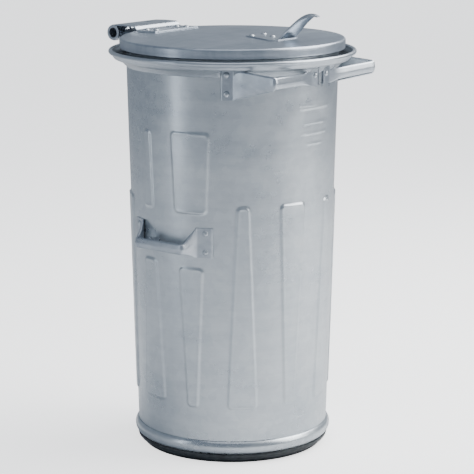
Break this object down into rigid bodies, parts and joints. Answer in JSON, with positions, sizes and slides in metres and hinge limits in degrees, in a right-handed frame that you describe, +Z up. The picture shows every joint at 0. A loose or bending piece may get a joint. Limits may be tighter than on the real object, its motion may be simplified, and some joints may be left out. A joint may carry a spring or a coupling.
{
  "type": "lidded waste bin",
  "caption": "Round galvanised steel waste bin with a tapered embossed body, dished collar, hinged lid with a lift tongue, bow handles and a rubber foot ring.",
  "frame": {"origin": "centre of the foot ring, on the floor", "axes": "+Z up along the bin's axis, hinge towards +Y, lift tongue towards -Y"},
  "size_m": [0.5103, 0.5382, 0.9133],
  "materials": {
    "galvanised_body": "hot-dip galvanised, spangled",
    "galvanised_lid": "hot-dip galvanised, satin",
    "galvanised_fittings": "hot-dip galvanised pressings",
    "steel_rivets": "zinc plated",
    "foot_rubber": "matt black moulded rubber"
  },
  "bodies": {
    "bin": {"base_pan": "galvanised_body", "body_rim_wire": "galvanised_body", "body_shell": "galvanised_body", "bottom_hoop": "galvanised_body", "collar_edge_wire": "galvanised_body", "collar_ring": "galvanised_body", "hinge_bracket": "galvanised_fittings", "hinge_bracket_rivets": "steel_rivets", "hinge_tube": "galvanised_fittings", "middle_handle_left": "galvanised_fittings", "middle_handle_left_rivets": "steel_rivets", "middle_handle_left_washers": "steel_rivets", "middle_handle_right": "galvanised_fittings", "middle_handle_right_rivets": "steel_rivets", "middle_handle_right_washers": "steel_rivets", "rubber_foot_ring": "foot_rubber", "upper_handle_left": "galvanised_fittings", "upper_handle_left_rivets": "steel_rivets", "upper_handle_left_washers": "steel_rivets", "upper_handle_right": "galvanised_fittings", "upper_handle_right_rivets": "steel_rivets", "upper_handle_right_washers": "steel_rivets"},
    "lid": {"hinge_strap": "galvanised_fittings", "hinge_strap_backing_plate": "galvanised_fittings", "hinge_strap_rivets": "steel_rivets", "lid_hem_wire": "galvanised_lid", "lid_shell": "galvanised_lid", "lift_tongue": "galvanised_fittings", "lift_tongue_backing_plate": "galvanised_fittings", "lift_tongue_rivets": "steel_rivets"}
  },
  "joints": [
    {"name": "lid_hinge", "type": "hinge", "parent": "bin", "child": "lid", "pos_m": [0, 0.266, 0.85], "axis": [-1, 0, 0], "range_deg": [0, 245]}
  ]
}
